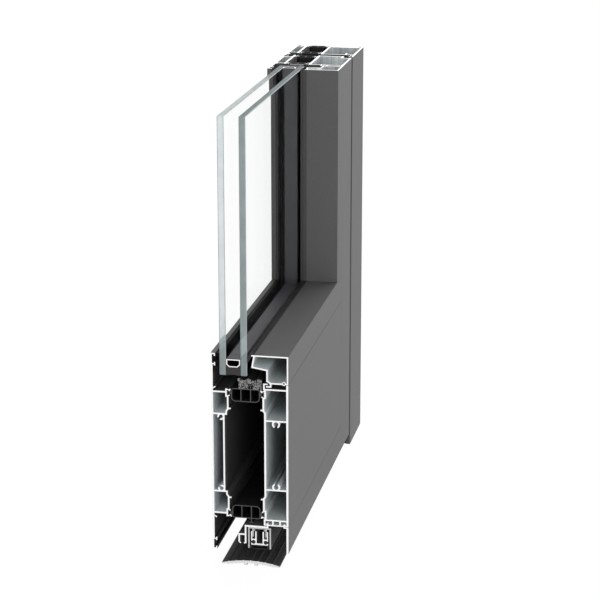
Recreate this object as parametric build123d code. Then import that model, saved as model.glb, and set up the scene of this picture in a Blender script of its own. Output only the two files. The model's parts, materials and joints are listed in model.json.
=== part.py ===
from build123d import *
import math
import os

os.makedirs("parts", exist_ok=True)

# Corner sample of a thermally broken aluminium entrance door: the lower hinge corner of the
# leaf, its jamb and the threshold, cut square at the front and at the top. Millimetres.
# X runs through the door from outside to inside, Y along its width towards the jamb, Z up.
# Sections are drawn flat: u is X, and v runs from the bead's seam into the profile.

# Overall sizes
door_depth = 75.0
sample_height = 441.5
rail_length = 294.0
stile_face = 54.0
reveal = 8.0
jamb_face = 72.0
floor_gap = 15.0
rail_face = 171.0
bead_face = 28.2

# Wall thicknesses of the extrusions
skin = 2.0
wall = 1.5
web = 1.6
inner_web = 2.0
claw = 1.2

# Depth of each shell, from its face to the back of its bar grooves
rail_outer_depth = 15.5
rail_inner_depth = 23.3
stile_outer_depth = 12.5
stile_inner_depth = 37.5

# Lip that holds a seal: hook at the tip, claw behind it, skin thinned between them
lip_reach = 4.5
lip_wall = 1.3
hook_drop = 2.9
claw_place = 10.1
claw_width = 3.4
groove_skin = 1.4
barb_rise = 1.4
barb_place = 3.4

# Rail shells, measured from the bead's seam
seam_to_wall = 4.5
bar_seat = 5.7
groove_centre = 9.9
second_wall_out = 31.3
second_wall_in = 35.7
step_place = 27.0
step_drop = 2.1
nub_width = 1.6
nub_reach = 2.0
outer_chamber = 12.7
port_bore = 1.9
port_ring = 3.5
port_mouth = 2.4
port_turn = 135
screw_ring = 3.9
screw_bore = 2.3
screw_mouth = 2.9
screw_place = 12.0

# Grooves of the insulating bars: a forked claw towards the glass and a plain one behind
claw_root = 4.9
claw_reach = 3.1
claw_tip = 2.55
claw_bite = 0.75
fork_root = 3.5
fork_reach = 3.9
fork_tip = 0.7
notch_reach = 1.6
notch_depth = 0.9
knee_reach = 2.9
knee_place = 1.0

# Hollow dovetail feet of the insulating bars
foot_reach = 4.2
foot_centre = 0.75
foot_root = 2.55
foot_neck = 1.2
foot_lead = 1.0
foot_play = 0.2
foot_wall = 0.6

# Insulating bars
rail_bar_depth = 13.2
stile_bar_depth = 9.2
bar_wall = 0.9
bar_round = 2.0
rail_bar_far_round = 4.2
stile_bar_far_round = 2.6
fin_place = 0.637
fin_stem = 3.3
fin_head = 3.5
cell_width = 9.4

# Glazing
pane = 6.4
arris = 0.7
cavity = 14.0
glass_place = 8.6
edge_cover = 21.5
spacer_side_play = 0.3
spacer_height = 7.8
spacer_wall = 1.0
spacer_cut = 2.6
sealant_depth = 8.3
sealant_hollow = 0.9
foam_height = 10.8
foam_dip = 2.8
foam_round = 0.5
foam_inset = 1.5
foam_room_out = 10.1
foam_room_in = 2.3
touch = 0.1

# Glazing gaskets: a hollow one in the outer lip, and a wedge with a flap over the bead inside
gasket_tip = 0.4
gasket_play = 0.6
hollow_place = 2.2
hollow_centre = 4.9
hollow_width = 1.5
hollow_height = 3.6
gasket_rise = 0.8
wedge_lip = 0.9
wedge_notch = 0.6
notch_place = 1.35
flap_place = 1.8
flap_rise = 0.5
flap_reach = 2.4
wedge_body = 2.8
wedge_toe = 8.8

# Glazing bead
bead_wall = 1.4
bead_lean = 2.0
bead_gap = 4.1
bead_nose = 12.0
bead_heel = 21.1
bead_drop = 2.3
bead_heel_fall = 10.7
bead_base = 0.4
bead_foot_reach = 4.5
bead_foot_drop = 4.6
ring_outer = 1.9
ring_inner = 1.1
ring_place = 4.2
hook_place = 24.2
hook_flange = 4.5
hook_rise = 0.7

# Clip-on seal carrier under the rail
cell_depth = 3.8
cell_first = 8.1
cell_second = 7.0
carrier_drop = 1.9
carrier_wall = 1.8
carrier_left = 43.1
carrier_leg = 18.9
pocket_reach = 6.3
pocket_drop = 9.0
pocket_curl = 1.3
seam_drop = 1.5
seam_gap = 0.4
clip_play = 0.15
clip_width = 1.3

# Drop-down seal, drawn about its own centre line
seal_centre = 28.5
housing_half = 11.3
housing_wall = 1.5
housing_leg = 21.8
guide_place = 5.8
guide_leg = 9.8
guide_nib = 1.5
guide_nib_place = 2.3
bar_top_gap = 4.1
bar_height = 14.0
bar_half = 8.3
bar_arm_place = 3.0
bar_arm_wall = 1.3
bead_bore = 2.05
bead_inset = 2.3
rubber_depth = 4.2
rubber_bulge = 0.9
rubber_wall = 1.0

# Leaf edge, jamb and threshold
nose_reach = 10.0
step_inset = 9.5
stile_groove_edge = 7.4
jamb_wall_place = 13.5
jamb_lip = 21.0
jamb_far_wall = 64.0
jamb_groove = 21.4
jamb_back_groove = 66.6
rib_reach = 9.0
lug_place = 19.7
lug_reach = 4.9
seal_play = 0.4
outer_seal_play = 0.8
threshold_width = 57.6
threshold_rise = 3.8
threshold_edge = 1.2
threshold_wall = 2.8
threshold_foot = 3.0
threshold_foot_place = 5.2
threshold_heel = 7.0
threshold_ribs = 7
rib_height = 0.4
rib_width = 0.9
tongue_inset = 3.0
tongue_play = 1.0

# Places that follow from the sizes
outside = -door_depth / 2
inside = door_depth / 2
front = -(rail_length + stile_face + reveal + jamb_face) / 2
seam_y = front + rail_length
lip_y = seam_y + stile_face + reveal
jamb_wall_y = lip_y + jamb_wall_place
seam_z = floor_gap + rail_face
rail_middle = (rail_face - bead_face) / 2
rail_out = outside + rail_outer_depth
rail_in = inside - rail_inner_depth
stile_out = outside + stile_outer_depth
stile_in = inside - stile_inner_depth
glass_out = outside + glass_place
glass_in = glass_out + 2 * pane + cavity
glass_edge = edge_cover - bead_face
bead_left = glass_in + bead_gap
low_wall = 2 * rail_middle - seam_to_wall
plate_v = low_wall + cell_depth
carrier_v = plate_v + carrier_drop
carrier_low = carrier_v + carrier_wall
seam_low = plate_v + seam_drop
nose_v = stile_face + nose_reach
stile_far_groove = nose_v - stile_groove_edge
seal_u = inside - seal_centre
groove_low = groove_centre + claw_root - claw


def rect(u0, v0, u1, v1):
    middle = Pos((u0 + u1) / 2, (v0 + v1) / 2)
    return middle * Rectangle(abs(u1 - u0), abs(v1 - v0))


def strip(start, end, thickness, reach=0.0):
    run = Vector(*end) - Vector(*start)
    middle = (Vector(*end) + Vector(*start)) * 0.5
    turn = math.degrees(math.atan2(run.Y, run.X))
    return Pos(middle.X, middle.Y) * Rot(0, 0, turn) * Rectangle(run.length + 2 * reach, thickness)


def outline(*points):
    return make_face(Polyline(*points, close=True))


def flip_u(section, centre=0.0):
    return Pos(2 * centre, 0) * mirror(section, about=Plane.YZ)


def flip_v(section, centre=0.0):
    return Pos(0, 2 * centre) * mirror(section, about=Plane.XZ)


def along_rail(section, length=rail_length, start=front):
    return Pos(0, start, seam_z) * Rot(-90, 0, 0) * extrude(section, length)


def up_stile(section, bottom, y=seam_y):
    return Pos(0, y, bottom) * extrude(section, sample_height - bottom)


def lip():
    """Hook and claw inside a skin whose outer face is u = 0 and whose tip is v = 0."""
    hook = rect(0, 0, lip_reach, lip_wall) + rect(lip_reach - lip_wall, 0, lip_reach, hook_drop)
    arm = rect(groove_skin, claw_place, lip_reach, claw_place + claw)
    centre = claw_place + claw / 2
    tip = rect(lip_reach - claw, centre - claw_width / 2, lip_reach, centre + claw_width / 2)
    return hook + arm + tip


def lip_relief():
    return rect(groove_skin, lip_wall, lip_reach, claw_place)


def barb(face, v):
    return strip((face, v), (face + lip_reach / 2, v - barb_rise), claw, claw / 4)


def bar_claws():
    """Claws on a wall whose face is u = 0: the forked one towards the glass, the plain one behind."""
    fork = outline(
        (-claw, -fork_root), (0, -fork_root), (notch_reach, notch_depth - fork_root),
        (fork_reach - fork_tip, -fork_root), (fork_reach, fork_tip / 2 - fork_root),
        (knee_reach, -knee_place), (0, claw - fork_root), (-claw, claw - fork_root),
    )
    plain = outline(
        (-claw, claw_root), (-claw, claw_root - claw), (0, claw_root - claw),
        (claw_reach - claw_bite, claw_tip), (claw_reach, claw_tip + claw_bite), (0, claw_root),
    )
    return fork + plain


def bar_foot():
    lead = foot_reach - foot_lead
    near = foot_centre - foot_neck
    far = foot_centre + foot_neck
    flare = outline(
        (foot_play, foot_centre - foot_root), (lead, near), (lead, far), (foot_play, foot_centre + foot_root),
    )
    flare -= offset(flare, -foot_wall, kind=Kind.INTERSECTION)
    return flare + rect(lead, near, foot_reach, far)


def bar_tube(width, depth, far_round):
    """Rounded tube with its face side on v = 0, tighter at that side's corners."""
    block = Pos(0, depth / 2) * Rectangle(width, depth)
    block = fillet(block.vertices().group_by(Axis.Y)[0], bar_round)
    block = fillet(block.vertices().group_by(Axis.Y)[-1], far_round)
    return block - offset(block, -bar_wall)


def insulating_bar(left, right, depth, far_round, dividers):
    """Hollow bar seated in the grooves at left and right, its face towards the glass."""
    width = right - left - 2 * foot_reach
    body = Pos((left + right) / 2, bar_seat) * bar_tube(width, depth, far_round)
    for u in dividers:
        body += rect(u - bar_wall / 2, bar_seat, u + bar_wall / 2, bar_seat + depth)
    body += Pos(left, groove_centre) * bar_foot()
    return body + Pos(right, groove_centre) * flip_u(bar_foot())


def rail_outer_shell():
    """Symmetric about its middle: a lip, a small chamber and half of the long one, mirrored."""
    inner = outside + skin
    half = rect(outside, -bead_face, inner, rail_middle)
    half -= Pos(outside, -bead_face) * lip_relief()
    half += Pos(outside, -bead_face) * lip()
    half += barb(inner, groove_centre - barb_place)
    half += rect(inner, groove_centre - web / 2, rail_out, groove_centre + web / 2)
    half += rect(rail_out - wall, groove_centre - fork_root, rail_out, groove_centre + claw_root)
    half += Pos(rail_out, groove_centre) * bar_claws()
    half += rect(rail_out, groove_low, rail_out + web, step_place)
    half += rect(rail_out, step_place - nub_width, rail_out + web + nub_reach, step_place)
    shift = web / 2
    half += strip((rail_out + shift, step_place), (rail_out - shift, step_place + step_drop), web, web / 4)
    half += rect(rail_out - web, step_place + step_drop, rail_out, second_wall_out + web)
    half += rect(inner, second_wall_out, rail_out, second_wall_out + web)
    chamber = inner + outer_chamber - web
    half += rect(chamber - web, second_wall_out, chamber, rail_middle)
    half += corner_port(chamber - web, second_wall_out + web)
    return half + flip_v(half, rail_middle)


def corner_port(wall_u, floor_v):
    """Screw port in the corner of a wall and a web, open towards the middle of the chamber."""
    mouth = Rot(0, 0, port_turn) * Pos(port_ring, 0) * Rectangle(2 * port_ring, port_mouth)
    ring = Circle(port_ring) - Circle(port_bore) - mouth
    centre = port_bore + touch
    reach = centre + port_ring
    corner = rect(wall_u - reach, floor_v - touch, wall_u + touch, floor_v + reach)
    return (Pos(wall_u - centre, floor_v + centre) * ring) & corner


def screw_port(centre_u, wall_v):
    centre = Pos(centre_u, wall_v + screw_bore)
    ring = centre * (Circle(screw_ring) - Circle(screw_bore))
    ring -= rect(centre_u - screw_ring, wall_v - screw_ring, centre_u + screw_ring, wall_v - touch)
    return ring - rect(centre_u - screw_mouth / 2, wall_v + screw_bore, centre_u + screw_mouth / 2,
                       wall_v + 2 * screw_ring)


def bead_hook():
    left = inside - hook_place
    leg = rect(left, -hook_rise, left + wall, seam_to_wall + wall)
    return leg + rect(left, -hook_rise, left + hook_flange, -hook_rise + claw)


def rail_inner_shell():
    face = inside - skin
    half = rect(rail_in, seam_to_wall, face, seam_to_wall + wall)
    half += rect(rail_in, seam_to_wall, rail_in + web, groove_centre + claw_root)
    half += Pos(rail_in, groove_centre) * flip_u(bar_claws())
    half += rect(rail_in - web, groove_low, rail_in + web, groove_low + claw)
    half += rect(rail_in - web, groove_low, rail_in, step_place)
    half += rect(rail_in - web - nub_reach, step_place - nub_width, rail_in, step_place)
    shift = web / 2
    half += strip((rail_in - shift, step_place), (rail_in + shift, step_place + step_drop), web, web / 4)
    half += rect(rail_in - touch, step_place + step_drop - web / 4, rail_in + web, rail_middle)
    half += rect(rail_in, second_wall_in, face, second_wall_in + wall)
    half += screw_port(inside - screw_place, second_wall_in + wall)
    shell = half + flip_v(half, rail_middle)
    shell += rect(face, 0, inside, seam_low - seam_gap)
    shell += bead_hook() + rect(inside - hook_place, seam_to_wall, rail_in + web, seam_to_wall + wall)
    leg = inside - hook_place
    shell += rect(leg, low_wall - wall, rail_in, low_wall)
    shell += rect(leg, low_wall - wall, leg + wall, plate_v + claw)
    shell += rect(leg, plate_v, leg + 2 * wall, plate_v + claw)
    first = leg + cell_first
    for u in (first, first + cell_second):
        shell += rect(u, low_wall, u + wall, plate_v)
    return shell + rect(face - wall, plate_v, face, plate_v + claw)


def seal_carrier():
    """Clips onto the rail's feet; carries the inside skirt, the drop seal and an empty seal pocket."""
    face = inside - skin
    leg = inside - hook_place + 2 * wall + clip_play
    tooth = face - wall - clip_play
    claw_low = plate_v - clip_play
    claw_top = claw_low - clip_width
    section = rect(leg, claw_top + clip_play, leg + clip_width, carrier_low)
    section += rect(leg - wall / 2, claw_top, leg + clip_width, claw_low)
    section += rect(leg, plate_v, tooth, plate_v + claw)
    section += rect(tooth - clip_width, claw_top, tooth, seam_low + clip_width)
    section += rect(tooth - clip_width, claw_top, tooth + wall / 2, claw_low)
    section += rect(tooth - clip_width, seam_low, face, seam_low + clip_width)
    section += rect(face, seam_low, inside, rail_face)
    left = inside - carrier_left
    section += rect(left, carrier_v, leg + clip_width, carrier_low)
    section += rect(left, carrier_v, left + web, carrier_v + carrier_leg)
    arm = carrier_v + pocket_drop
    low = carrier_v + carrier_leg
    far = left - pocket_reach
    curl = pocket_curl / 2
    section += rect(far, arm, left + web, arm + web)
    section += rect(far, arm, far + wall, low - pocket_curl)
    section += strip((left + web / 2, low - curl), (left - curl, low), claw, claw / 4)
    section += strip((far + wall / 2, low - pocket_curl), (far + wall + curl, low), claw, claw / 4)
    return section


def seal_housing():
    """Inverted channel with two guide legs, under the carrier's top plate."""
    top = carrier_low
    left = seal_u - housing_half
    section = rect(left, top, seal_u, top + housing_wall)
    section += rect(left, top, left + housing_wall, top + housing_leg)
    guide = seal_u - guide_place
    section += rect(guide - bar_arm_wall, top, guide, top + guide_leg)
    nib = top + guide_nib_place
    section += rect(guide, nib, guide + guide_nib, nib + claw)
    return section + flip_u(section, seal_u)


def drop_bar():
    """Sliding U with a slotted round groove at each side of its base for the rubber's beads."""
    top = carrier_low + bar_top_gap
    base = top + bar_height
    left = seal_u - bar_half
    arm = seal_u - bar_arm_place
    section = rect(left, base - web, seal_u, base)
    section += rect(arm - bar_arm_wall, top, arm, base)
    bore_v = base - web / 2 - bead_bore - touch
    block = rect(left, bore_v - bead_bore - claw, arm, base)
    section += block
    section += rect(left, top, left + claw - foot_play, base - 2 * bead_bore)
    section -= Pos(left + bead_inset, bore_v) * Circle(bead_bore)
    section -= rect(left - touch, bore_v - bead_bore / 2, left + bead_inset, bore_v + bead_bore / 2)
    return section + flip_u(section, seal_u)


def drop_bar_rubber():
    """Hollow strip with a bulging sole and two beads in the bar's round grooves."""
    base = carrier_low + bar_top_gap + bar_height + touch
    left = seal_u - bar_half
    right = seal_u + bar_half
    low = base + rubber_depth - rubber_bulge
    sole = ThreePointArc((right, low), (seal_u, low + rubber_bulge), (left, low))
    body = make_face(sole + Polyline((left, low), (left, base), (right, base), (right, low)))
    body -= rect(left + rubber_wall, base + rubber_wall, right - rubber_wall, low)
    bore_v = base - touch - web / 2 - bead_bore - touch
    side = rect(left - rubber_wall, bore_v - rubber_wall / 2, left - touch, base + rubber_wall)
    side += rect(left - rubber_wall, base, left + rubber_wall, base + rubber_wall)
    side += rect(left - rubber_wall, bore_v - rubber_wall / 2, left + bead_inset, bore_v + rubber_wall / 2)
    side += Pos(left + bead_inset, bore_v) * Circle(bead_bore - 2 * touch)
    return body + side + flip_u(side, seal_u)


def glazing_bead():
    """Clip-in bead: a broad nose towards the glass, a heel, and a foot under the shell's hook."""
    top = -bead_face
    right = inside - bead_wall
    base = -bead_base
    nose_low = top + bead_nose
    heel_u = inside - bead_heel
    heel_v = nose_low + bead_drop
    section = rect(bead_left, top, inside, top + bead_wall)
    section += rect(right, top, inside, base)
    notch = top + bead_wall / 2
    section += outline((bead_left + bead_lean, notch), (bead_left + bead_lean + bead_wall, notch),
                       (bead_left + bead_wall, nose_low), (bead_left, nose_low))
    section += strip((bead_left + bead_wall / 2, nose_low), (heel_u + bead_wall / 2, heel_v),
                     bead_wall, bead_wall / 2)
    heel_low = heel_v + bead_heel_fall
    section += rect(heel_u, heel_v, heel_u + bead_wall, heel_low)
    foot_u = inside - hook_place + hook_flange + 2 * bead_wall
    middle = bead_wall / 2
    section += strip((heel_u + middle, heel_low), (foot_u, base - middle), bead_wall, middle)
    section += rect(foot_u - bead_wall, base - bead_wall, inside, base)
    foot = base + bead_foot_drop - claw
    section += rect(foot_u - bead_wall / 2, base - bead_wall, foot_u + bead_wall / 2, foot)
    section += rect(foot_u - bead_foot_reach, foot - bead_wall, foot_u + bead_wall / 2, foot)
    ring = Pos(inside - ring_place, base - ring_inner)
    return section + ring * Circle(ring_outer) - ring * Circle(ring_inner)


def fin_u():
    return rail_out + fin_place * (rail_in - rail_out)


def fin_slot():
    half = (fin_head + bar_wall) / 2
    return rect(fin_u() - half, bar_seat - fin_stem - 2 * bar_wall, fin_u() + half, bar_seat)


def foam_strip(left, right):
    """Foam on the bar with three soft crests towards the glass."""
    crest = bar_seat - foam_height
    shares = ((0.07, 0), (0.29, 1), (0.46, 0), (0.67, 1), (0.85, 0))
    waves = [(left + share * (right - left), crest + dip * foam_dip) for share, dip in shares]
    shoulder = crest + foam_dip / 2
    foot = bar_seat - foam_height / 2
    points = [(left, shoulder), *waves, (right, shoulder), (right, bar_seat),
              (left + foam_inset, bar_seat), (left + foam_inset, foot)]
    return make_face(FilletPolyline(*points, radius=foam_round, close=True))


def bar_fin():
    fin = fin_u()
    stem = rect(fin - bar_wall / 2, bar_seat - fin_stem, fin + bar_wall / 2, bar_seat)
    return stem + rect(fin - fin_head / 2, bar_seat - fin_stem - bar_wall, fin + fin_head / 2,
                       bar_seat - fin_stem)


def rail_bar():
    walls = (fin_u() - cell_width, fin_u())
    return insulating_bar(rail_out, rail_in, rail_bar_depth, rail_bar_far_round, walls) + bar_fin()


def stile_bar():
    walls = ((stile_out + stile_in) / 2,)
    return insulating_bar(stile_out, stile_in, stile_bar_depth, stile_bar_far_round, walls)


def outer_gasket():
    """Held in the outer lip and pressing on the outer pane, hollow so that it gives."""
    root = outside + groove_skin + touch
    neck = outside + lip_reach - lip_wall - touch
    body = outside + lip_reach + touch
    glass = glass_out - touch
    top = -bead_face
    low = top + claw_place - touch
    section = outline(
        (root, top + lip_wall + touch), (neck, top + lip_wall + touch), (neck, top + hook_drop + touch),
        (body, top + hook_drop + touch), (body, top - touch), (glass, top - gasket_tip), (glass, low),
        (glass - lip_wall, low + lip_wall), (body, low - claw), (neck, low - claw), (neck, low),
        (root, low),
    )
    hollow = Rot(0, 0, 90) * SlotOverall(hollow_height, hollow_width)
    return section - Pos(glass - hollow_place, top + hollow_centre) * hollow


def inner_gasket():
    """Wedge between the inner pane and the bead, with a lip on the glass and a groove behind it."""
    glass = glass_in + touch
    bead = bead_left - touch
    top = -bead_face
    flap = top - touch - flap_rise
    return outline(
        (glass, top - gasket_rise), (glass + wedge_lip, top - gasket_rise),
        (glass + notch_place, top + wedge_notch), (glass + flap_place, flap), (bead, flap),
        (bead, top + wedge_body), (glass, top + wedge_toe),
    )


def gasket_flap():
    """Thin flap that carries the wedge over the edge of the bead."""
    low = -bead_face - touch
    return rect(bead_left - touch - flap_rise, low - flap_rise, bead_left + flap_reach, low)


def spacer():
    left = glass_out + pane + spacer_side_play
    right = glass_in - pane - spacer_side_play
    low = glass_edge - sealant_depth
    top = low - spacer_height
    ring = outline(
        (left, top), (right, top), (right, low - spacer_cut), (right - spacer_cut, low),
        (left + spacer_cut, low), (left, low - spacer_cut),
    )
    return ring - offset(ring, -spacer_wall, kind=Kind.INTERSECTION)


def edge_sealant():
    left = glass_out + pane
    right = glass_in - pane
    low = glass_edge
    top = low - sealant_depth
    arch = ThreePointArc((right, low), ((left + right) / 2, low - sealant_hollow), (left, low))
    brim = top - spacer_cut
    near = left + spacer_side_play
    far = right - spacer_side_play
    seat = Polyline((left, low), (left, brim), (near, brim), (near + spacer_cut, top),
                    (far - spacer_cut, top), (far, brim), (right, brim), (right, low))
    return make_face(arch + seat)


def stile_outer_shell():
    inner = outside + skin
    section = rect(outside, -bead_face, inner, stile_face)
    section -= Pos(outside, -bead_face) * lip_relief()
    section += Pos(outside, -bead_face) * lip()
    section += barb(inner, groove_centre - barb_place)
    section += rect(inner, groove_centre - web / 2, stile_out, groove_centre + web / 2)
    section += rect(stile_out - inner_web, groove_centre - fork_root, stile_out, nose_v)
    section += Pos(stile_out, groove_centre) * bar_claws()
    section += Pos(stile_out, stile_far_groove) * flip_v(bar_claws())
    return section + rect(inner, stile_face - web, stile_out, stile_face)


def stile_inner_shell():
    face = inside - skin
    section = rect(stile_in, seam_to_wall, face, seam_to_wall + wall)
    section += rect(face, 0, inside, stile_face) + bead_hook()
    section += rect(stile_in, seam_to_wall, stile_in + inner_web, nose_v)
    section += Pos(stile_in, groove_centre) * flip_u(bar_claws())
    section += Pos(stile_in, stile_far_groove) * flip_u(flip_v(bar_claws()))
    step = inside - step_inset
    section += rect(stile_in, nose_v - web, step, nose_v)
    section += rect(step - inner_web, stile_face - web, step, nose_v)
    return section + rect(step - inner_web, stile_face - web, inside, stile_face)


def jamb_outer_shell():
    """Drawn from the lip's tip, v running towards the wall of the building."""
    inner = outside + skin
    section = rect(outside, 0, inner, jamb_face) - Pos(outside, 0) * lip_relief() + Pos(outside, 0) * lip()
    section += rect(inner, jamb_lip, stile_out, jamb_lip + web)
    section += rect(stile_out - inner_web, jamb_groove - fork_root, stile_out, jamb_face)
    section += rect(inner, jamb_far_wall, stile_out, jamb_far_wall + web)
    section += rect(outside, jamb_face - lip_wall, outside + lip_reach, jamb_face)
    section += Pos(stile_out, jamb_groove) * bar_claws()
    return section + Pos(stile_out, jamb_back_groove) * flip_v(bar_claws())


def jamb_inner_shell():
    face = inside - skin
    section = rect(face, 0, inside, jamb_face) - flip_u(Pos(outside, 0) * lip_relief())
    section += flip_u(Pos(outside, 0) * lip())
    section += rect(stile_in, jamb_wall_place, face, jamb_wall_place + web)
    section += rect(stile_in, jamb_wall_place, stile_in + inner_web, jamb_face)
    section += rect(stile_in, jamb_far_wall, face, jamb_far_wall + web)
    step = inside - step_inset
    section += rect(step - inner_web, jamb_wall_place, step, jamb_wall_place + web + rib_reach)
    lug = inside - lug_place
    section += rect(lug - web, jamb_far_wall, lug, jamb_far_wall + web + lug_reach)
    section += rect(inside - lip_reach, jamb_face - lip_wall, inside, jamb_face)
    section += Pos(stile_in, jamb_groove) * flip_u(bar_claws())
    return section + Pos(stile_in, jamb_back_groove) * flip_u(flip_v(bar_claws()))


def jamb_gasket(reach):
    """Held in a jamb lip and reaching towards the leaf's nose."""
    root = groove_skin + touch
    neck = lip_reach - lip_wall - touch
    head = lip_reach + 2 * touch
    section = rect(root, lip_wall + touch, neck, claw_place - touch)
    section += rect(neck - touch, hook_drop + touch, head, claw_place - claw - touch)
    bulb = (reach - head) / 2
    section += rect(head, lip_wall, head + bulb, claw_place - claw)
    return section + Pos(reach - bulb, lip_wall + bulb) * Circle(bulb)


def threshold_section():
    """Low arch with ribs on its back and four feet, drawn about u = 0 with the floor at v = 0."""
    half = threshold_width / 2
    crown = threshold_edge + threshold_rise
    radius = (half ** 2 + threshold_rise ** 2) / (2 * threshold_rise)
    disc = Pos(0, crown - radius) * Circle(radius)
    arch = disc - Pos(0, crown - radius) * Circle(radius - threshold_wall)
    arch = arch & rect(-half, 0, half, crown)
    feet = [(-half + touch, -half + threshold_heel), (half - threshold_heel, half - touch)]
    for side in (-1, 1):
        middle = side * threshold_foot_place
        feet.append((middle - threshold_foot / 2, middle + threshold_foot / 2))
    for left, right in feet:
        arch += rect(left, 0, right, crown) & disc
    for index in range(threshold_ribs):
        u = (index - (threshold_ribs - 1) / 2) * threshold_width / (threshold_ribs + 1)
        rise = crown - radius + math.sqrt(radius ** 2 - u ** 2)
        arch += rect(u - rib_width / 2, rise - rib_height, u + rib_width / 2, rise + rib_height)
    return arch


def threshold_plate():
    length = jamb_wall_y - front
    plate = Pos(0, front, 0) * Rot(90, 0, 0) * Pos(0, 0, -length) * extrude(threshold_section(), length)
    width = threshold_width / 2
    notch = Box(tongue_inset, length, door_depth, align=(Align.MIN, Align.MIN, Align.CENTER))
    inner_side = Pos(width - tongue_inset, lip_y - tongue_play, 0) * notch
    outer_side = Pos(-width, lip_y - tongue_play, 0) * notch
    return plate - inner_side - outer_side


def pane_of_glass(left):
    """Pane with a ground arris all round."""
    low = seam_z - glass_edge
    size = (pane, rail_length + glass_edge, sample_height - low)
    block = Box(*size, align=(Align.MIN, Align.MIN, Align.MIN))
    return Pos(left, front, low) * chamfer(block.edges(), arris)


def seal_passage():
    """Room at the foot of the stile for the drop seal, which runs through to the leaf's edge."""
    width = 2 * (housing_half + clip_play)
    height = seam_z - carrier_low + clip_play
    return Pos(seal_u, seam_y, 0) * Box(width, nose_v, height, align=(Align.CENTER, Align.MIN, Align.MIN))


def foam_room():
    """Room for the stile's foam, which reaches the rail's bead only in a deeper door."""
    right = stile_in - foot_reach + clip_play
    crest = seam_y + bar_seat - foam_height - clip_play
    room = Box(door_depth, foam_height, bead_face, align=(Align.MAX, Align.MIN, Align.MIN))
    return Pos(right, crest, seam_z) * room


def stile_inner_part():
    """The hook for the bead is cut away where the rail meets the stile."""
    height = seam_z + bead_face + bead_base
    hook = Box(hook_place, bead_face, height, align=(Align.MAX, Align.MAX, Align.MIN))
    return up_stile(stile_inner_shell(), floor_gap) - Pos(inside, seam_y, 0) * hook - seal_passage()


def rail_outer_part():
    """The outer shell runs on past the lip of the stile, with its lip and skin cut back there."""
    length = rail_length + seam_to_wall
    shell = along_rail(rail_outer_shell(), length)
    back = Box(lip_reach + clip_play, length, sample_height, align=(Align.MIN, Align.MIN, Align.MIN))
    return shell - Pos(outside, seam_y - bead_face - clip_play, 0) * back


spacer_low = glass_edge - sealant_depth
spacer_end = rail_length + spacer_low
parts = {
    "jamb_outer_shell": up_stile(jamb_outer_shell(), 0, lip_y),
    "jamb_inner_shell": up_stile(jamb_inner_shell(), 0, lip_y),
    "jamb_leaf_side_bar": up_stile(Pos(0, jamb_groove - groove_centre) * stile_bar(), 0, lip_y),
    "jamb_wall_side_bar": up_stile(
        flip_v(stile_bar(), (groove_centre + jamb_back_groove) / 2), 0, lip_y),
    "jamb_outer_gasket": up_stile(
        Pos(outside, 0) * jamb_gasket(stile_outer_depth - inner_web - outer_seal_play), 0, lip_y),
    "jamb_inner_gasket": up_stile(flip_u(Pos(outside, 0) * jamb_gasket(step_inset - seal_play)), 0, lip_y),
    "threshold_plate": threshold_plate(),
    "stile_outer_shell": up_stile(stile_outer_shell(), floor_gap),
    "stile_inner_shell": stile_inner_part(),
    "stile_glass_side_bar": up_stile(stile_bar(), floor_gap) - seal_passage(),
    "stile_jamb_side_bar": up_stile(
        flip_v(stile_bar(), (groove_centre + stile_far_groove) / 2), floor_gap) - seal_passage(),
    "rail_outer_shell": rail_outer_part(),
    "rail_inner_shell": along_rail(rail_inner_shell(), rail_length - seam_gap),
    "rail_upper_bar": along_rail(rail_bar()),
    "rail_lower_bar": along_rail(flip_v(rail_bar(), rail_middle)),
    "rail_glazing_bead": along_rail(glazing_bead(), rail_length - seam_gap) - foam_room(),
    "stile_glazing_bead": up_stile(glazing_bead(), seam_z + bead_face + bead_base),
    "rail_foam_strip": along_rail(
        foam_strip(rail_out + foam_room_out, rail_in - foam_room_in) - fin_slot()),
    "stile_foam_strip": up_stile(
        foam_strip(stile_out + foot_reach, stile_in - foot_reach), seam_z - bar_seat + foam_height),
    "outer_pane": pane_of_glass(glass_out),
    "inner_pane": pane_of_glass(glass_in - pane),
    "rail_spacer": along_rail(spacer(), spacer_end),
    "stile_spacer": up_stile(spacer(), seam_z - spacer_low + spacer_height),
    "rail_edge_sealant": along_rail(edge_sealant(), rail_length + glass_edge),
    "stile_edge_sealant": up_stile(edge_sealant(), seam_z - spacer_low + spacer_height),
    "rail_outer_gasket": along_rail(outer_gasket(), rail_length - bead_face - gasket_play),
    "stile_outer_gasket": up_stile(outer_gasket(), seam_z - glass_edge),
    "rail_inner_gasket": along_rail(inner_gasket(), rail_length - bead_face + wedge_toe)
    + along_rail(gasket_flap(), rail_length - bead_face - touch),
    "stile_inner_gasket": up_stile(
        inner_gasket() + gasket_flap(), seam_z + bead_face + gasket_rise + touch),
    "seal_carrier": along_rail(seal_carrier(), rail_length - seam_gap),
    "seal_housing": along_rail(seal_housing(), rail_length + nose_v),
    "drop_bar": along_rail(drop_bar(), rail_length + nose_v - seal_play),
    "drop_bar_rubber": along_rail(drop_bar_rubber(), rail_length + nose_v - seal_play),
}

for name, shape in parts.items():
    export_step(shape, f"parts/{name}.step")
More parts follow.
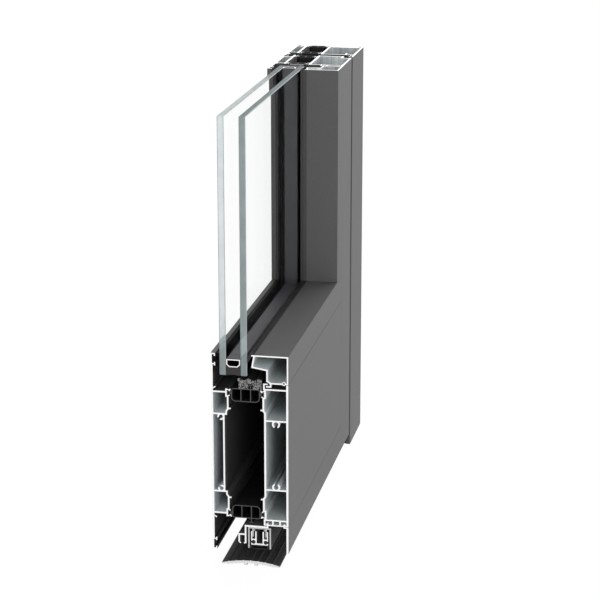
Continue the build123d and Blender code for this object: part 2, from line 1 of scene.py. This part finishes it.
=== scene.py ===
import bpy
import bmesh
import json
import math
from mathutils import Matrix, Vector


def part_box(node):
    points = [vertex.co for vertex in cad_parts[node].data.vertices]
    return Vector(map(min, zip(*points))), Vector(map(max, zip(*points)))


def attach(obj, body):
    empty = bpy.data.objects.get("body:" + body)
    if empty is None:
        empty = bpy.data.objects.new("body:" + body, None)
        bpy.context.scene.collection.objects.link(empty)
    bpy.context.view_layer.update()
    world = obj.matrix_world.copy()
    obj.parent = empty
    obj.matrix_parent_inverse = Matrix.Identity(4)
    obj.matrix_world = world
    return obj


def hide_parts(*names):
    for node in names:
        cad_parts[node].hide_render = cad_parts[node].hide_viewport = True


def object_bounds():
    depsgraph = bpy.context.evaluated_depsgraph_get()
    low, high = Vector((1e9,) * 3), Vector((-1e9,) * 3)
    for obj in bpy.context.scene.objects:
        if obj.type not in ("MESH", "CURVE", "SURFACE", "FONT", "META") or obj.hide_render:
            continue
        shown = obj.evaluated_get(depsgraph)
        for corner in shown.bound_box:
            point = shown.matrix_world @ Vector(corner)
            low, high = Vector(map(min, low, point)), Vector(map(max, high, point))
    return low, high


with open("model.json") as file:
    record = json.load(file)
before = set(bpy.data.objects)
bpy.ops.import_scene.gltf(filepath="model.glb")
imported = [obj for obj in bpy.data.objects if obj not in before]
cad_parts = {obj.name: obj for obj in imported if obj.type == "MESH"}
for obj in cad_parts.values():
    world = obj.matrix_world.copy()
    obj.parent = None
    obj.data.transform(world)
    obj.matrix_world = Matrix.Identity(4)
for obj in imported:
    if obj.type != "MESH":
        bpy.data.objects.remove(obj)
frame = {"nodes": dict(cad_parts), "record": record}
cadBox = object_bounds()
scene = bpy.context.scene
bodyOf = {name: body for body, names in frame["record"]["behaviour"]["bodies"].items() for name in names}
print("door sample loaded,", len(frame["nodes"]), "nodes")


# camera, on the photo's line of sight; turn and down are in degrees
view = {"place": (0.38922, -1.97071, 0.78236), "turn": 10.968, "down": 15.959, "lens": 120.24,
        "sensor": 36, "nearest": 0.05}
cameraData = bpy.data.cameras.new("camera")
cameraData.lens = view["lens"]
cameraData.sensor_width = view["sensor"]
cameraData.clip_start = view["nearest"]
camera = bpy.data.objects.new("camera", cameraData)
camera.location = view["place"]
camera.rotation_euler = (math.radians(90 - view["down"]), 0, math.radians(view["turn"]))
scene.collection.objects.link(camera)
scene.camera = camera
scene.view_settings.view_transform = "Standard"
print("camera set")


# shared node groups

def newGroup(name, inputs, outputs):
    group = bpy.data.node_groups.new(name, "ShaderNodeTree")
    for label, kind, value in inputs:
        socket = group.interface.new_socket(label, in_out="INPUT", socket_type="NodeSocket" + kind)
        socket.default_value = value
    for label, kind in outputs:
        group.interface.new_socket(label, in_out="OUTPUT", socket_type="NodeSocket" + kind)
    start = group.nodes.new("NodeGroupInput")
    end = group.nodes.new("NodeGroupOutput")
    return group, start, end


def addNode(tree, kind, **settings):
    made = tree.nodes.new("ShaderNode" + kind)
    for key, value in settings.items():
        setattr(made, key, value)
    return made


# two tones mixed by noise that can be stretched along the run of a profile
def makeGrain():
    group, start, end = newGroup(
        "grain",
        [("Tone A", "Color", (0.5, 0.5, 0.5, 1)), ("Tone B", "Color", (0.6, 0.6, 0.6, 1)),
         ("Scale", "Float", 900), ("Detail", "Float", 3), ("Low", "Float", 0.35), ("High", "Float", 0.65),
         ("Stretch", "Vector", (1, 1, 1))],
        [("Color", "Color"), ("Value", "Float")])
    link = group.links.new
    place = addNode(group, "TexCoord")
    stretched = addNode(group, "VectorMath", operation="MULTIPLY")
    noise = addNode(group, "TexNoise")
    spread = addNode(group, "MapRange")
    tones = addNode(group, "Mix", data_type="RGBA")
    link(place.outputs["Object"], stretched.inputs[0])
    link(start.outputs["Stretch"], stretched.inputs[1])
    link(stretched.outputs[0], noise.inputs["Vector"])
    link(start.outputs["Scale"], noise.inputs["Scale"])
    link(start.outputs["Detail"], noise.inputs["Detail"])
    link(noise.outputs["Fac"], spread.inputs["Value"])
    link(start.outputs["Low"], spread.inputs["From Min"])
    link(start.outputs["High"], spread.inputs["From Max"])
    link(spread.outputs["Result"], tones.inputs["Factor"])
    link(start.outputs["Tone A"], tones.inputs["A"])
    link(start.outputs["Tone B"], tones.inputs["B"])
    link(tones.outputs["Result"], end.inputs["Color"])
    link(spread.outputs["Result"], end.inputs["Value"])
    return group


# 0 below one place along an axis, 1 above another
def makeFade():
    group, start, end = newGroup(
        "edgeFade", [("Axis", "Vector", (0, 0, 1)), ("Low", "Float", 0), ("High", "Float", 1)],
        [("Value", "Float")])
    link = group.links.new
    place = addNode(group, "TexCoord")
    along = addNode(group, "VectorMath", operation="DOT_PRODUCT")
    spread = addNode(group, "MapRange", interpolation_type="SMOOTHSTEP")
    link(place.outputs["Object"], along.inputs[0])
    link(start.outputs["Axis"], along.inputs[1])
    link(along.outputs["Value"], spread.inputs["Value"])
    link(start.outputs["Low"], spread.inputs["From Min"])
    link(start.outputs["High"], spread.inputs["From Max"])
    link(spread.outputs["Result"], end.inputs["Value"])
    return group


grain = makeGrain()
edgeFade = makeFade()
print("node groups made")


# materials: what a finish sets straight on the shader, and what its grain and bump are if it doesn't say

plainSockets = {"colour": "Base Color", "roughness": "Roughness", "metallic": "Metallic", "ior": "IOR",
                "specular": "Specular IOR Level", "alpha": "Alpha", "transmission": "Transmission Weight"}
plainFinish = {"detail": 3.0, "low": 0.35, "high": 0.65, "stretch": (1, 1, 1), "bump": 0.2, "depth": 0.00002}


def newMaterial(name, values):
    material = bpy.data.materials.new(name)
    material.use_nodes = True
    shader = material.node_tree.nodes["Principled BSDF"]
    for key, label in plainSockets.items():
        if key in values:
            shader.inputs[label].default_value = values[key]
    return material, material.node_tree, shader


def addGrain(tree, tones, values):
    made = addNode(tree, "Group", node_tree=grain)
    made.inputs["Tone A"].default_value = (*tones[0], 1)
    made.inputs["Tone B"].default_value = (*tones[1], 1)
    made.inputs["Scale"].default_value = values["scale"]
    made.inputs["Detail"].default_value = values["detail"]
    made.inputs["Low"].default_value = values["low"]
    made.inputs["High"].default_value = values["high"]
    made.inputs["Stretch"].default_value = values["stretch"]
    return made


def addFade(tree, axis, low, high):
    made = addNode(tree, "Group", node_tree=edgeFade)
    made.inputs["Axis"].default_value = axis
    made.inputs["Low"].default_value = low
    made.inputs["High"].default_value = high
    return made.outputs["Value"]


def addBump(tree, shader, height, values):
    bump = addNode(tree, "Bump")
    bump.inputs["Strength"].default_value = values["bump"]
    bump.inputs["Distance"].default_value = values["depth"]
    tree.links.new(height, bump.inputs["Height"])
    tree.links.new(bump.outputs["Normal"], shader.inputs["Normal"])


def grainedMaterial(name, values):
    values = {**plainFinish, **values}
    material, tree, shader = newMaterial(name, values)
    grained = addGrain(tree, values["tones"], values)
    tree.links.new(grained.outputs["Color"], shader.inputs["Base Color"])
    addBump(tree, shader, grained.outputs["Value"], values)
    return material


# painted shade: from the first tones to the darker far ones over a span along an axis of the part
def paintedShadeMaterial(name, values):
    values = {**plainFinish, **values}
    material, tree, shader = newMaterial(name, values)
    link = tree.links.new
    first = addGrain(tree, values["tones"], values)
    far = addGrain(tree, values["shadeTones"], values)
    tones = addNode(tree, "Mix", data_type="RGBA")
    link(addFade(tree, values["axis"], *values["span"]), tones.inputs["Factor"])
    link(first.outputs["Color"], tones.inputs["A"])
    link(far.outputs["Color"], tones.inputs["B"])
    link(tones.outputs["Result"], shader.inputs["Base Color"])
    addBump(tree, shader, first.outputs["Value"], values)
    return material


alongY = (1, 0.02, 1)
alongZ = (1, 1, 0.02)

metals = {
    "greyCoat": {"tones": ((0.160, 0.160, 0.161), (0.180, 0.180, 0.181)), "scale": 1500,
                 "roughness": 0.55, "specular": 0.15, "bump": 0.15},
    # the recess tone is painted light and shade: a copy of the grey coat set to how bright the recesses
    # look, not a finish of its own
    "darkRecess": {"tones": ((0.175, 0.175, 0.178), (0.210, 0.210, 0.213)), "scale": 1200,
                   "roughness": 0.6, "specular": 0.1, "bump": 0.15},
    # painted shade: a darker copy of the grey coat on the recesses of the rail's shells, standing in for the
    # shade in the cavity between them
    "shadedCoat": {"tones": ((0.075, 0.075, 0.076), (0.100, 0.100, 0.101)), "scale": 1200,
                   "roughness": 0.6, "specular": 0.08, "bump": 0.15},
    "sawnAluminium": {"tones": ((0.90, 0.90, 0.90), (0.97, 0.97, 0.97)), "scale": 700,
                      "roughness": 0.42, "metallic": 1.0, "bump": 0.1, "stretch": (1, 0.3, 0.3)},
    "pressedAluminium": {"tones": ((0.46, 0.46, 0.465), (0.58, 0.58, 0.585)), "scale": 700,
                         "roughness": 0.42, "metallic": 1.0, "bump": 0.1},
    "stileChamber": {"tones": ((0.52, 0.565, 0.575), (0.90, 0.94, 0.95)), "scale": 420, "stretch": alongZ,
                     "detail": 4.0, "low": 0.3, "high": 0.7,
                     "roughness": 0.4, "metallic": 0.3, "bump": 0.12},
    # painted shade: dark metal for the flanks of the drop seal's housing and bar, standing in for the shade
    # under the leaf
    "shadedMetal": {"tones": ((0.065, 0.066, 0.068), (0.085, 0.086, 0.088)), "scale": 900, "stretch": alongY,
                    "roughness": 0.6, "specular": 0.1, "bump": 0.12},
    "spacerMetal": {"tones": ((0.140, 0.143, 0.152), (0.168, 0.172, 0.183)), "scale": 1500,
                    "roughness": 0.52, "specular": 0.18, "bump": 0.05},
    "sillCut": {"tones": ((0.68, 0.68, 0.68), (0.78, 0.78, 0.78)), "scale": 700,
                "roughness": 0.42, "metallic": 1.0, "bump": 0.1},
    "darkSill": {"tones": ((0.075, 0.075, 0.075), (0.110, 0.110, 0.110)), "scale": 1500,
                 "roughness": 0.6, "specular": 0.2, "bump": 0.15}}

# rubber and foam are among them
plastics = {
    "insulatingPlastic": {"tones": ((0.008, 0.008, 0.009), (0.018, 0.018, 0.019)), "scale": 2600,
                          "roughness": 0.55, "specular": 0.3, "bump": 0.3},
    "cutPlastic": {"tones": ((0.075, 0.075, 0.078), (0.125, 0.125, 0.13)), "scale": 3200,
                   "roughness": 0.6, "bump": 0.4},
    "gasketRubber": {"tones": ((0.020, 0.020, 0.021), (0.034, 0.034, 0.035)), "scale": 1800,
                     "roughness": 0.7, "specular": 0.15},
    # black rubber, darker than rubber is, as painted shade for seals deep in the rebate; it also paints the
    # spacer's hollow black as painted shade
    "cutRubber": {"tones": ((0.003, 0.003, 0.004), (0.008, 0.008, 0.009)), "scale": 2500,
                  "roughness": 0.75, "specular": 0.08, "bump": 0.3},
    "wedgeRubber": {"tones": ((0.04, 0.04, 0.042), (0.06, 0.06, 0.063)), "scale": 2500,
                    "roughness": 0.7, "specular": 0.2, "bump": 0.3},
    # painted light: the stile's inner seal, a lighter copy of the gasket rubber for how the light falls on
    # it
    "sideRubber": {"tones": ((0.095, 0.095, 0.098), (0.125, 0.125, 0.129)), "scale": 2500,
                   "roughness": 0.7, "specular": 0.2, "bump": 0.3},
    "speckledFoam": {"tones": ((0.032, 0.032, 0.033), (0.48, 0.48, 0.485)), "scale": 650, "detail": 2.0,
                     "low": 0.42, "high": 0.58, "roughness": 0.85, "bump": 0.6, "depth": 0.0003},
    "edgeSealant": {"tones": ((0.020, 0.020, 0.021), (0.029, 0.029, 0.030)), "scale": 2000,
                    "roughness": 0.6}}

# painted light and shade: the rail's chambers are painted bright at the cut end and duller further in, for
# the light falling off with depth, and the outside seal is painted black by the pane, for the shade in the
# crevice there
cutEnd = cadBox[0][1]
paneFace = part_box("outer_pane")[0][0]
paintedShadeFinishes = {
    "railChamber": {"tones": ((0.86, 0.91, 0.92), (0.93, 0.97, 0.98)),
                    "shadeTones": ((0.475, 0.52, 0.53), (0.555, 0.60, 0.61)), "scale": 900, "stretch": alongY,
                    "axis": (0, 1, 0), "span": (cutEnd - 0.001, cutEnd + 0.042),
                    "roughness": 0.4, "bump": 0.12},
    # painted light and shade on the stile's outside seal: grey and lighter than its rubber by the lip, black
    # in the crevice by the pane
    "outerSealSkin": {"tones": ((0.072, 0.072, 0.075), (0.096, 0.096, 0.100)),
                      "shadeTones": ((0.003, 0.003, 0.004), (0.008, 0.008, 0.009)), "scale": 2500,
                      "axis": (1, 0, 0), "span": (paneFace - 0.0017, paneFace - 0.0009),
                      "roughness": 0.7, "specular": 0.15, "bump": 0.3}}

look = {}
for name, values in {**metals, **plastics}.items():
    look[name] = grainedMaterial(name, values)
for name, values in paintedShadeFinishes.items():
    look[name] = paintedShadeMaterial(name, values)
print("opaque materials made")


# the panes hardly reflect and hardly bend the view, as on the sample
clearGlass = {"colour": (0.992, 0.995, 0.996, 1), "roughness": 0.0, "transmission": 1.0, "ior": 1.02}

# cut edges of the panes, with painted light and shade: the front ones change tone in steps where the frame
# behind them ends, painted light where light comes through from behind and painted shade in front of the
# frame, and the outer pane's top edge is paler towards the front, painted shade towards the stile; a step's
# level is measured along its axis
paneEdge = {"scale": 60, "detail": 2.0, "patches": ((0.94, 0.94, 0.94), (1.06, 1.06, 1.06)),
            "roughness": 0.5, "specular": 0.15, "bump": 0.05, "alpha": 0.95}
# painted shade on the inner pane's top edge and a painted highlight on the arrises
evenlyPaintedEdges = {"innerGlassTop": {"tones": ((0.18, 0.23, 0.235), (0.22, 0.27, 0.275))},
             "glassArris": {"tones": ((0.52, 0.58, 0.58), (0.57, 0.63, 0.63))}}
edgesPaintedInSteps = {
    "outerGlassFront": {"axis": (-1.1, 0, 1), "soft": 0.0009, "first": (0.435, 0.505, 0.505),
                        "steps": ((0.2477, (0.515, 0.60, 0.60)), (0.2536, (0.59, 0.69, 0.69)),
                                  (0.2585, (0.78, 0.84, 0.85))), "farMetal": 0.6, "farAlpha": 0.9},
    "outerGlassTop": {"axis": (0, -1, 0), "soft": 0.015, "first": (0.21, 0.245, 0.25),
                      "steps": ((0.001, (0.44, 0.50, 0.50)),), "farMetal": 0.3, "farAlpha": 0.92},
    "innerGlassFront": {"axis": (-1.1, 0, 1), "soft": 0.0009, "first": (0.40, 0.475, 0.48),
                        "steps": ((0.2203, (0.57, 0.67, 0.675)), (0.2371, (0.475, 0.555, 0.56)))}}


# past the last step an edge of the outer pane is shinier and lets a little more through
def addFarShine(tree, shader, fade, values):
    link = tree.links.new
    metal = addNode(tree, "Math", operation="MULTIPLY")
    metal.inputs[1].default_value = values["farMetal"]
    link(fade, metal.inputs[0])
    link(metal.outputs[0], shader.inputs["Metallic"])
    alpha = addNode(tree, "MapRange")
    alpha.inputs["To Min"].default_value = values["alpha"]
    alpha.inputs["To Max"].default_value = values["farAlpha"]
    link(fade, alpha.inputs["Value"])
    link(alpha.outputs["Result"], shader.inputs["Alpha"])


def paintedStepMaterial(name, values):
    values = {**plainFinish, **paneEdge, **values}
    material, tree, shader = newMaterial(name, values)
    link = tree.links.new
    tone = None
    for level, colour in values["steps"]:
        fade = addFade(tree, values["axis"], level - values["soft"], level + values["soft"])
        step = addNode(tree, "Mix", data_type="RGBA")
        step.inputs["A"].default_value = (*values["first"], 1)
        step.inputs["B"].default_value = (*colour, 1)
        link(fade, step.inputs["Factor"])
        if tone:
            link(tone, step.inputs["A"])  # takes the place of the first tone
        tone = step.outputs["Result"]
    patches = addGrain(tree, values["patches"], values)
    tones = addNode(tree, "Mix", data_type="RGBA", blend_type="MULTIPLY")
    tones.inputs["Factor"].default_value = 1
    link(tone, tones.inputs["A"])
    link(patches.outputs["Color"], tones.inputs["B"])
    link(tones.outputs["Result"], shader.inputs["Base Color"])
    addBump(tree, shader, patches.outputs["Value"], values)
    if "farMetal" in values:
        addFarShine(tree, shader, fade, values)
    return material


look["clearGlass"] = newMaterial("clearGlass", clearGlass)[0]
for name, values in evenlyPaintedEdges.items():
    look[name] = grainedMaterial(name, {**paneEdge, **values})
for name, values in edgesPaintedInSteps.items():
    look[name] = paintedStepMaterial(name, values)
print("glass made")


# a welded copy of each CAD solid, with its own finish on skin, cut ends and chambers, and on recesses, where
# a recess tone is given, painted light and shade

skinFace, cutFace, chamberFace, recessFace = range(4)
dressing = {"weld": 0.000001, "flatJoint": 0.005, "endFacing": 0.95, "sideFacing": 0.9, "onSide": 0.00005,
            "atEnd": 0.0001, "sharpAngle": math.radians(35), "bevelSteps": 2}


def weldedCopy(name):
    bm = bmesh.new()
    bm.from_mesh(frame["nodes"][name].data)
    bmesh.ops.remove_doubles(bm, verts=bm.verts, dist=dressing["weld"])
    return bm


def newPiece(name, bm, finishes):
    mesh = bpy.data.meshes.new(name + "_look")
    bm.to_mesh(mesh)
    bm.free()
    for finish in finishes:
        mesh.materials.append(look[finish])
    piece = bpy.data.objects.new(name + "_look", mesh)
    scene.collection.objects.link(piece)
    return piece


def handOver(piece, name):
    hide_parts(name)
    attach(piece, bodyOf[name])


def onCoatedSide(face, box, coated):
    centre = face.calc_center_median()
    for side in coated:
        axis = "xyz".index(side[1])
        edge = box[1][axis] if side[0] == "+" else box[0][axis]
        if abs(centre[axis] - edge) < dressing["onSide"] and abs(face.normal[axis]) > dressing["sideFacing"]:
            return True
    return False


def joinFlatFaces(bm):
    flat = [edge for edge in bm.edges
            if len(edge.link_faces) == 2 and edge.calc_face_angle(1) < dressing["flatJoint"]
            and all(face.material_index != cutFace for face in edge.link_faces)]
    bmesh.ops.dissolve_edges(bm, edges=flat, use_verts=False)
    bm.normal_update()


def joinedGroups(faces):
    groups = []
    while faces:
        front = [faces.pop()]
        group = []
        while front:
            face = front.pop()
            group.append(face)
            for edge in face.edges:
                for other in edge.link_faces:
                    if other in faces:
                        faces.remove(other)
                        front.append(other)
        groups.append(group)
    return groups


def sectionSize(group):
    corners = [vert.co for face in group for vert in face.verts]
    reach = sorted(max(c[i] for c in corners) - min(c[i] for c in corners) for i in range(3))
    return reach[0] * reach[1]


# uprights run along Z and are cut at the top, the others run along Y and are cut at the front
def finishFaces(bm, name, coated, hasChambers):
    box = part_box(name)
    upright = name.startswith(("jamb_", "stile_"))
    run = 2 if upright else 1
    end = box[1][run] if upright else box[0][run]
    for face in bm.faces:
        face.material_index = cutFace if abs(face.normal[run]) > dressing["endFacing"] else skinFace
    joinFlatFaces(bm)
    sides = {face for face in bm.faces if face.material_index == skinFace}
    if hasChambers:
        milled = {face for face in sides
                  if all(abs(vert.co[run] - end) > dressing["atEnd"] for vert in face.verts)}
        for face in milled:
            face.material_index = cutFace
        sides -= milled
    groups = joinedGroups(sides)
    outside = max(groups, key=sectionSize)
    # chambers take the chamber finish; faces of the outside off the coated sides take the recess tone,
    # painted light and shade
    for group in groups:
        for face in group:
            if hasChambers and group is not outside:
                face.material_index = chamberFace
            elif coated and not onCoatedSide(face, box, coated):
                face.material_index = recessFace


def dressNode(name, edge, skin, cut, chamber=None, recess=None, coated=()):
    bm = weldedCopy(name)
    finishFaces(bm, name, coated, chamber is not None)
    piece = newPiece(name, bm, (skin, cut, chamber or skin, recess or skin))
    if edge:
        bevel = piece.modifiers.new("edges", "BEVEL")
        bevel.width = edge
        bevel.segments = dressing["bevelSteps"]
        bevel.limit_method = "ANGLE"
        bevel.angle_limit = dressing["sharpAngle"]
    piece.data.shade_smooth()
    piece.data.set_sharp_from_angle(angle=dressing["sharpAngle"])
    handOver(piece, name)
    return piece


# for each profile its chambers, its recesses and the sides of its own box that carry the coat; the recess
# tone is painted light and shade
profiles = {"edge": 0.00006, "looks": {
    "jamb_outer_shell": ("stileChamber", "darkRecess", ("-x", "-y", "+y")),
    "jamb_inner_shell": ("stileChamber", "darkRecess", ("+x", "-y", "+y")),
    "stile_outer_shell": ("stileChamber", "darkRecess", ("-x", "-y")),
    "stile_inner_shell": ("stileChamber", "darkRecess", ("+x",)),
    "stile_glazing_bead": ("stileChamber", "darkRecess", ("+x", "-y")),
    "rail_outer_shell": ("railChamber", "shadedCoat", ("-x", "+z")),
    "rail_inner_shell": ("railChamber", "shadedCoat", ("+x",)),
    "rail_glazing_bead": ("railChamber", "darkRecess", ("+x", "+z")),
    "seal_carrier": ("railChamber", "darkRecess", ("+x", "-z"))}}
dressed = {}
for name, (chamber, recess, coated) in profiles["looks"].items():
    dressed[name] = dressNode(name, profiles["edge"], "greyCoat", "sawnAluminium", chamber, recess, coated)


# the small cells between the rail's feet and the carrier are bare inside
smallCells = {"below": 0.0019, "above": 0.0027, "between": ("rail_inner_shell", "seal_carrier")}
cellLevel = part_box("seal_carrier")[1][2]
for name in smallCells["between"]:
    for face in dressed[name].data.polygons:
        inCells = -smallCells["below"] < face.center.z - cellLevel < smallCells["above"]
        if inCells and face.material_index == recessFace:
            face.material_index = chamberFace
print("coated profiles dressed")


bars = {"edge": 0.0001, "names": ("jamb_leaf_side_bar", "jamb_wall_side_bar", "stile_glass_side_bar",
                                  "stile_jamb_side_bar", "rail_upper_bar", "rail_lower_bar")}
for name in bars["names"]:
    dressNode(name, bars["edge"], "insulatingPlastic", "cutPlastic")

# the drop seal's housing and bar have painted shade on their flanks, a dark metal tone for the shade under
# the leaf, and the painted recess tone elsewhere
dropSeal = {"edge": 0.0001, "coated": ("-x", "+x"),
            "cuts": {"seal_housing": "pressedAluminium", "drop_bar": "sawnAluminium"}}
for name, cut in dropSeal["cuts"].items():
    dressNode(name, dropSeal["edge"], "shadedMetal", cut, None, "darkRecess", dropSeal["coated"])
dressNode("drop_bar_rubber", dropSeal["edge"], "gasketRubber", "wedgeRubber")

# skin and cut end of each seal; the stile's seals carry painted light and shade on their skins
gaskets = {"edge": 0.0003, "looks": {"jamb_outer_gasket": ("gasketRubber", "cutRubber"),
                                     "jamb_inner_gasket": ("gasketRubber", "cutRubber"),
                                     "stile_outer_gasket": ("outerSealSkin", "cutRubber"),
                                     "stile_inner_gasket": ("sideRubber", "cutRubber"),
                                     "rail_outer_gasket": ("cutRubber", "cutRubber"),
                                     "rail_inner_gasket": ("gasketRubber", "wedgeRubber")}}
for name, (skin, cut) in gaskets["looks"].items():
    dressNode(name, gaskets["edge"], skin, cut)

# edge, skin, cut end and hollow of the pieces that follow the panes' edge along the rail and up the stile;
# the spacer's hollow is painted black, painted shade
glazing = {"along": ("rail_", "stile_"),
           "looks": {"spacer": (0.00008, "spacerMetal", "sawnAluminium", "cutRubber"),
                     "edge_sealant": (0, "insulatingPlastic", "edgeSealant"),
                     "foam_strip": (0, "gasketRubber", "speckledFoam")}}
for part, finish in glazing["looks"].items():
    for where in glazing["along"]:
        dressNode(where + part, *finish)

threshold = {"edge": 0.00008, "skin": "darkSill", "cut": "sillCut"}
dressNode("threshold_plate", threshold["edge"], threshold["skin"], threshold["cut"])
print("inner pieces dressed")


# the panes are clear, apart from their cut edges at the top and the front, which are free to see and carry
# painted light and shade
clearFace, frontFace, topFace, arrisFace = range(4)
panes = {"turned": 0.1, "facingUp": 0.9, "flatJoint": 0.01,
         "looks": {"outer_pane": ("clearGlass", "outerGlassFront", "outerGlassTop", "glassArris"),
                   "inner_pane": ("clearGlass", "innerGlassFront", "innerGlassTop", "glassArris")}}


def paneFinish(normal):
    across, along, up = normal
    if up <= panes["turned"] and along >= -panes["turned"]:
        return clearFace
    if abs(across) > panes["turned"]:
        return arrisFace
    return topFace if up > panes["facingUp"] else frontFace


for name, finishes in panes["looks"].items():
    bm = weldedCopy(name)
    for face in bm.faces:
        face.material_index = paneFinish(face.normal)
    bmesh.ops.dissolve_limit(bm, angle_limit=panes["flatJoint"], verts=bm.verts, edges=bm.edges,
                             delimit={"MATERIAL"})
    handOver(newPiece(name, bm, finishes), name)
print("panes dressed")


# studio: lamps shine from the side they are towards, and their softness is in degrees
white = (1, 1, 1, 1)
studio = {"worldLight": 0.24, "whiteLevel": 1.0, "directBelow": 0.5,
          "floorSize": 12, "floorTone": (0.9, 0.9, 0.9, 1), "floorGlow": 0.93, "floorStrength": 1.05,
          "lamps": {"key": {"towards": (0.985, -0.15, 0.03), "light": 0.82, "soft": 20},
                    "front": {"towards": (0.33, -0.91, 0.18), "light": 0.75, "soft": 40},
                    "back": {"towards": (0.1, 0.7, 0.7), "light": 1.25, "soft": 60}}}


# the white surroundings show straight, in metal and through glass; a ray that comes by way of a dull
# surface has a diffuse depth of 1 or more and doesn't see them
def whiteToTheEye(tree):
    path = addNode(tree, "LightPath")
    glossy = addNode(tree, "Math", operation="MAXIMUM")
    seen = addNode(tree, "Math", operation="MAXIMUM")
    direct = addNode(tree, "Math", operation="LESS_THAN")
    direct.inputs[1].default_value = studio["directBelow"]
    both = addNode(tree, "Math", operation="MULTIPLY")
    link = tree.links.new
    link(path.outputs["Is Camera Ray"], glossy.inputs[0])
    link(path.outputs["Is Glossy Ray"], glossy.inputs[1])
    link(glossy.outputs[0], seen.inputs[0])
    link(path.outputs["Is Transmission Ray"], seen.inputs[1])
    link(path.outputs["Diffuse Depth"], direct.inputs[0])
    link(seen.outputs[0], both.inputs[0])
    link(direct.outputs[0], both.inputs[1])
    return both.outputs[0]


def makeWorld():
    world = bpy.data.worlds.new("studio")
    world.use_nodes = True
    scene.world = world
    tree = world.node_tree
    tree.nodes.clear()
    soft = addNode(tree, "Background")
    bright = addNode(tree, "Background")
    mix = addNode(tree, "MixShader")
    out = addNode(tree, "OutputWorld")
    soft.inputs["Color"].default_value = white
    soft.inputs["Strength"].default_value = studio["worldLight"]
    bright.inputs["Color"].default_value = white
    bright.inputs["Strength"].default_value = studio["whiteLevel"]
    link = tree.links.new
    link(whiteToTheEye(tree), mix.inputs["Fac"])
    link(soft.outputs[0], mix.inputs[1])
    link(bright.outputs[0], mix.inputs[2])
    link(mix.outputs[0], out.inputs["Surface"])


def makeLamp(name, values):
    data = bpy.data.lights.new(name, "SUN")
    data.energy = values["light"]
    data.angle = math.radians(values["soft"])
    lamp = bpy.data.objects.new(name, data)
    lamp.rotation_mode = "QUATERNION"
    lamp.rotation_quaternion = Vector(values["towards"]).to_track_quat("Z", "Y")
    scene.collection.objects.link(lamp)


def makeFloor():
    bm = bmesh.new()
    bmesh.ops.create_grid(bm, x_segments=1, y_segments=1, size=studio["floorSize"] / 2)
    mesh = bpy.data.meshes.new("floor")
    bm.to_mesh(mesh)
    bm.free()
    material = bpy.data.materials.new("paleFloor")
    material.use_nodes = True
    tree = material.node_tree
    tree.nodes.clear()
    paper = addNode(tree, "BsdfDiffuse")
    paper.inputs["Color"].default_value = studio["floorTone"]
    glow = addNode(tree, "Emission")
    glow.inputs["Strength"].default_value = studio["floorStrength"]
    amount = addNode(tree, "Math", operation="MULTIPLY")
    amount.inputs[1].default_value = studio["floorGlow"]
    mix = addNode(tree, "MixShader")
    out = addNode(tree, "OutputMaterial")
    link = tree.links.new
    link(whiteToTheEye(tree), amount.inputs[0])
    link(amount.outputs[0], mix.inputs["Fac"])
    link(paper.outputs[0], mix.inputs[1])
    link(glow.outputs[0], mix.inputs[2])
    link(mix.outputs[0], out.inputs["Surface"])
    mesh.materials.append(material)
    floor = bpy.data.objects.new("floor", mesh)
    scene.collection.objects.link(floor)


makeWorld()
for name, values in studio["lamps"].items():
    makeLamp(name, values)
makeFloor()
print("studio lit")
